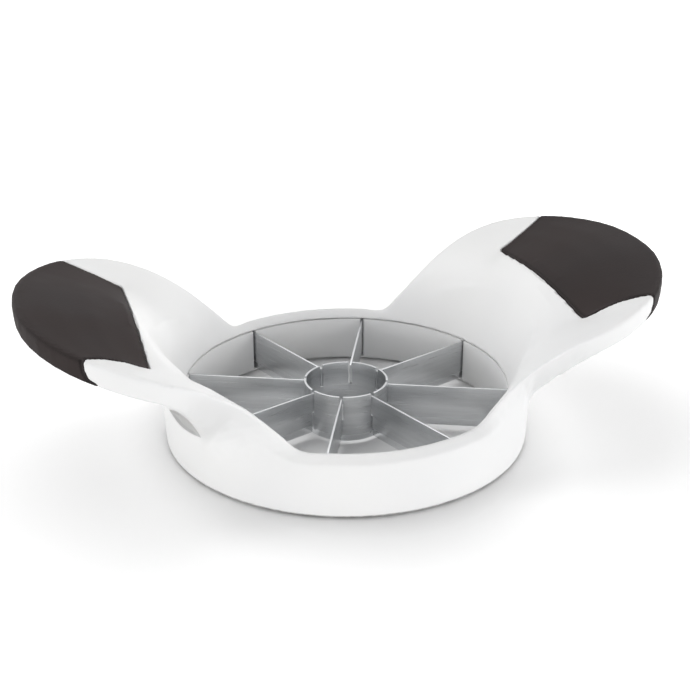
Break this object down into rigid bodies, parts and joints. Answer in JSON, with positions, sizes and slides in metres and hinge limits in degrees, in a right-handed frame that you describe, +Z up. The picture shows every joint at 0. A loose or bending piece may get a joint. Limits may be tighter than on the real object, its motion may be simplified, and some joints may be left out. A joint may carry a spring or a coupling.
{
  "type": "apple slicer wedger press",
  "caption": "Hand press with a corer tube and radial blades in a round ring, with two raised wing handles and soft grips.",
  "frame": {"origin": "centre of the ring's base, on the surface that the slicer stands on", "axes": "+Z up along the corer's axis, +X along the right wing handle, -Y towards the front"},
  "size_m": [0.1994, 0.115, 0.0544],
  "materials": {
    "white_plastic": "satin",
    "clamp_plastic": "satin",
    "soft_grip": "matte",
    "steel": "brushed"
  },
  "bodies": {
    "root": {"frame": "white_plastic", "grip_right": "soft_grip", "grip_left": "soft_grip", "blade_clamp_ring": "clamp_plastic", "corer_tube": "steel", "blade_1": "steel", "blade_2": "steel", "blade_3": "steel", "blade_4": "steel", "blade_5": "steel", "blade_6": "steel", "blade_7": "steel", "blade_8": "steel"}
  },
  "joints": []
}
